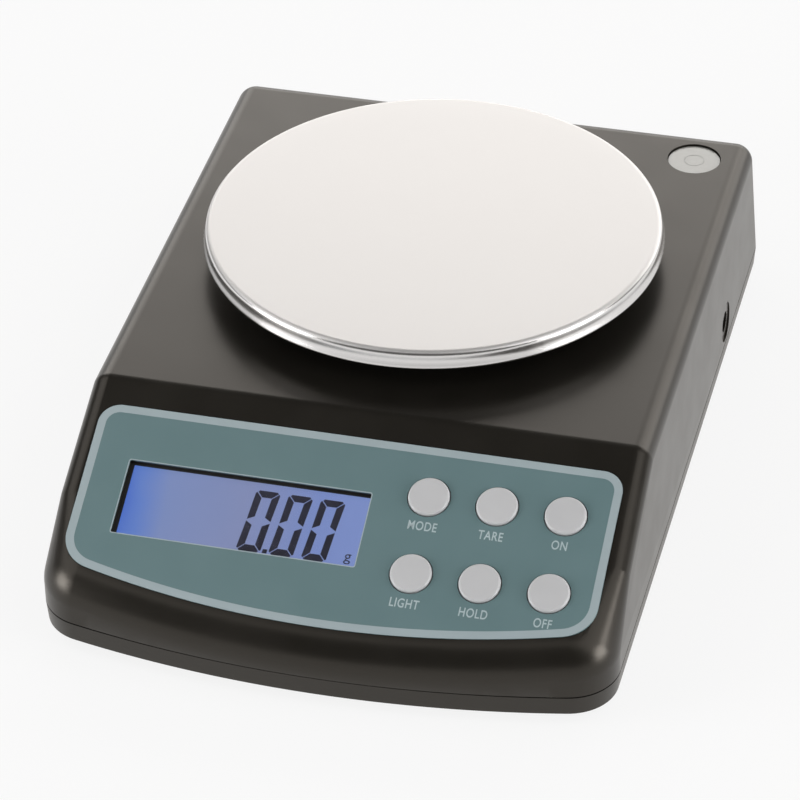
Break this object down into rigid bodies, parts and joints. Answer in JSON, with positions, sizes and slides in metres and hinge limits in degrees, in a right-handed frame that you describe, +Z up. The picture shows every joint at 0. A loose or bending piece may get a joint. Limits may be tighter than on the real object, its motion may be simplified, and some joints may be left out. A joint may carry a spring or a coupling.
{
  "type": "digital gram scale",
  "caption": "Bench scale with a round steel pan, a sloping panel with a lit display and round keys, a bubble level and levelling feet.",
  "frame": {"origin": "on the table, under the middle of the body's bounding box", "axes": "+X right, +Y back, +Z up; the control panel faces -Y"},
  "size_m": [0.1606, 0.2278, 0.0621],
  "materials": {
    "upper_shell": "warm charcoal ABS, fine moulded texture, satin sheen",
    "lower_shell": "charcoal ABS, a little duller than the cover",
    "battery_door": "charcoal ABS",
    "overlay": "printed polycarbonate film, teal grey with a pale border",
    "clear": "clear acrylic",
    "lcd": "blue lit liquid crystal display",
    "backlight": "white light guide",
    "dark_plastic": "black moulded plastic",
    "board": "green solder mask",
    "key": "light grey moulded keys",
    "pan": "satin stainless steel, bright rim",
    "support": "glass-filled nylon",
    "rubber": "black rubber",
    "screw": "zinc plated steel",
    "aluminium": "machined aluminium",
    "brass": "turned brass",
    "cells": "plain printed sleeve on steel",
    "ribbon": "grey flat cable",
    "level": "pale moulded cup",
    "level_lens": "clear lens over pale liquid, one ring",
    "label": "bare label stock"
  },
  "bodies": {
    "root": {"upper_shell": "upper_shell", "lower_shell": "lower_shell", "control_overlay": "overlay", "lcd_window": "clear", "lcd_glass": "lcd", "lcd_backlight": "backlight", "lcd_frame": "dark_plastic", "display_board": "board", "display_screws": "screw", "tact_switches": "dark_plastic", "load_cell": "aluminium", "cell_riser": "aluminium", "fixed_end_screws": "screw", "overload_stop": "screw", "main_board": "board", "board_screws": "screw", "board_chips": "dark_plastic", "dc_jack": "dark_plastic", "ribbon_cable": "ribbon", "battery_tray": "dark_plastic", "battery_cells": "cells", "battery_contacts": "brass", "level_cup": "level", "level_lens": "level_lens", "foot_inserts": "brass", "case_screws": "screw", "rating_label": "label"},
    "carrier": {"carrier_plate": "aluminium", "cell_spacer": "aluminium", "free_end_screws": "screw", "support_screw": "screw", "pan_support": "support", "pan_pads": "rubber"},
    "pan": {"weighing_pan": "pan"},
    "mode_button": {"mode_key": "key", "mode_plunger": "dark_plastic"},
    "tare_button": {"tare_key": "key", "tare_plunger": "dark_plastic"},
    "on_button": {"on_key": "key", "on_plunger": "dark_plastic"},
    "light_button": {"light_key": "key", "light_plunger": "dark_plastic"},
    "hold_button": {"hold_key": "key", "hold_plunger": "dark_plastic"},
    "off_button": {"off_key": "key", "off_plunger": "dark_plastic"},
    "door": {"battery_door": "battery_door"},
    "pad_1": {"foot_pad_1": "rubber"},
    "wheel_1": {"foot_wheel_1": "dark_plastic"},
    "pad_2": {"foot_pad_2": "rubber"},
    "wheel_2": {"foot_wheel_2": "dark_plastic"},
    "pad_3": {"foot_pad_3": "rubber"},
    "wheel_3": {"foot_wheel_3": "dark_plastic"},
    "pad_4": {"foot_pad_4": "rubber"},
    "wheel_4": {"foot_wheel_4": "dark_plastic"}
  },
  "joints": [
    {"name": "pan_load", "type": "slide", "parent": "root", "child": "carrier", "axis": [0, 0, 1], "range_m": [-0.0005, 0], "stiffness_N_per_m": 12000, "springref_m": 0.0003, "deforming": ["load_cell"]},
    {"name": "pan_lift", "type": "slide", "parent": "carrier", "child": "pan", "axis": [0, 0, 1], "range_m": [0, 0.03]},
    {"name": "mode_press", "type": "slide", "parent": "root", "child": "mode_button", "axis": [0, -0.4226, 0.9063], "range_m": [-0.0008, 0], "stiffness_N_per_m": 600, "springref_m": 0.0005},
    {"name": "tare_press", "type": "slide", "parent": "root", "child": "tare_button", "axis": [0, -0.4226, 0.9063], "range_m": [-0.0008, 0], "stiffness_N_per_m": 600, "springref_m": 0.0005},
    {"name": "on_press", "type": "slide", "parent": "root", "child": "on_button", "axis": [0, -0.4226, 0.9063], "range_m": [-0.0008, 0], "stiffness_N_per_m": 600, "springref_m": 0.0005},
    {"name": "light_press", "type": "slide", "parent": "root", "child": "light_button", "axis": [0, -0.4226, 0.9063], "range_m": [-0.0008, 0], "stiffness_N_per_m": 600, "springref_m": 0.0005},
    {"name": "hold_press", "type": "slide", "parent": "root", "child": "hold_button", "axis": [0, -0.4226, 0.9063], "range_m": [-0.0008, 0], "stiffness_N_per_m": 600, "springref_m": 0.0005},
    {"name": "off_press", "type": "slide", "parent": "root", "child": "off_button", "axis": [0, -0.4226, 0.9063], "range_m": [-0.0008, 0], "stiffness_N_per_m": 600, "springref_m": 0.0005},
    {"name": "door_release", "type": "slide", "parent": "root", "child": "door", "axis": [0, 0, -1], "range_m": [0, 0.03]},
    {"name": "foot_1_height", "type": "slide", "parent": "root", "child": "pad_1", "axis": [0, 0, 1], "range_m": [-0.003, 0.0015]},
    {"name": "foot_1_turn", "type": "hinge", "parent": "pad_1", "child": "wheel_1", "pos_m": [-0.0617, -0.0871, 0.004], "axis": [0, 0, 1], "range_deg": [-1348, 674]},
    {"name": "foot_2_height", "type": "slide", "parent": "root", "child": "pad_2", "axis": [0, 0, 1], "range_m": [-0.003, 0.0015]},
    {"name": "foot_2_turn", "type": "hinge", "parent": "pad_2", "child": "wheel_2", "pos_m": [0.0617, -0.0871, 0.004], "axis": [0, 0, 1], "range_deg": [-1348, 674]},
    {"name": "foot_3_height", "type": "slide", "parent": "root", "child": "pad_3", "axis": [0, 0, 1], "range_m": [-0.003, 0.0015]},
    {"name": "foot_3_turn", "type": "hinge", "parent": "pad_3", "child": "wheel_3", "pos_m": [-0.0631, 0.0941, 0.004], "axis": [0, 0, 1], "range_deg": [-1348, 674]},
    {"name": "foot_4_height", "type": "slide", "parent": "root", "child": "pad_4", "axis": [0, 0, 1], "range_m": [-0.003, 0.0015]},
    {"name": "foot_4_turn", "type": "hinge", "parent": "pad_4", "child": "wheel_4", "pos_m": [0.0631, 0.0941, 0.004], "axis": [0, 0, 1], "range_deg": [-1348, 674]}
  ],
  "couplings": [
    {"joint": "foot_1_height", "follows": "foot_1_turn", "m_per_rad": 0.00012732},
    {"joint": "foot_2_height", "follows": "foot_2_turn", "m_per_rad": 0.00012732},
    {"joint": "foot_3_height", "follows": "foot_3_turn", "m_per_rad": 0.00012732},
    {"joint": "foot_4_height", "follows": "foot_4_turn", "m_per_rad": 0.00012732}
  ]
}
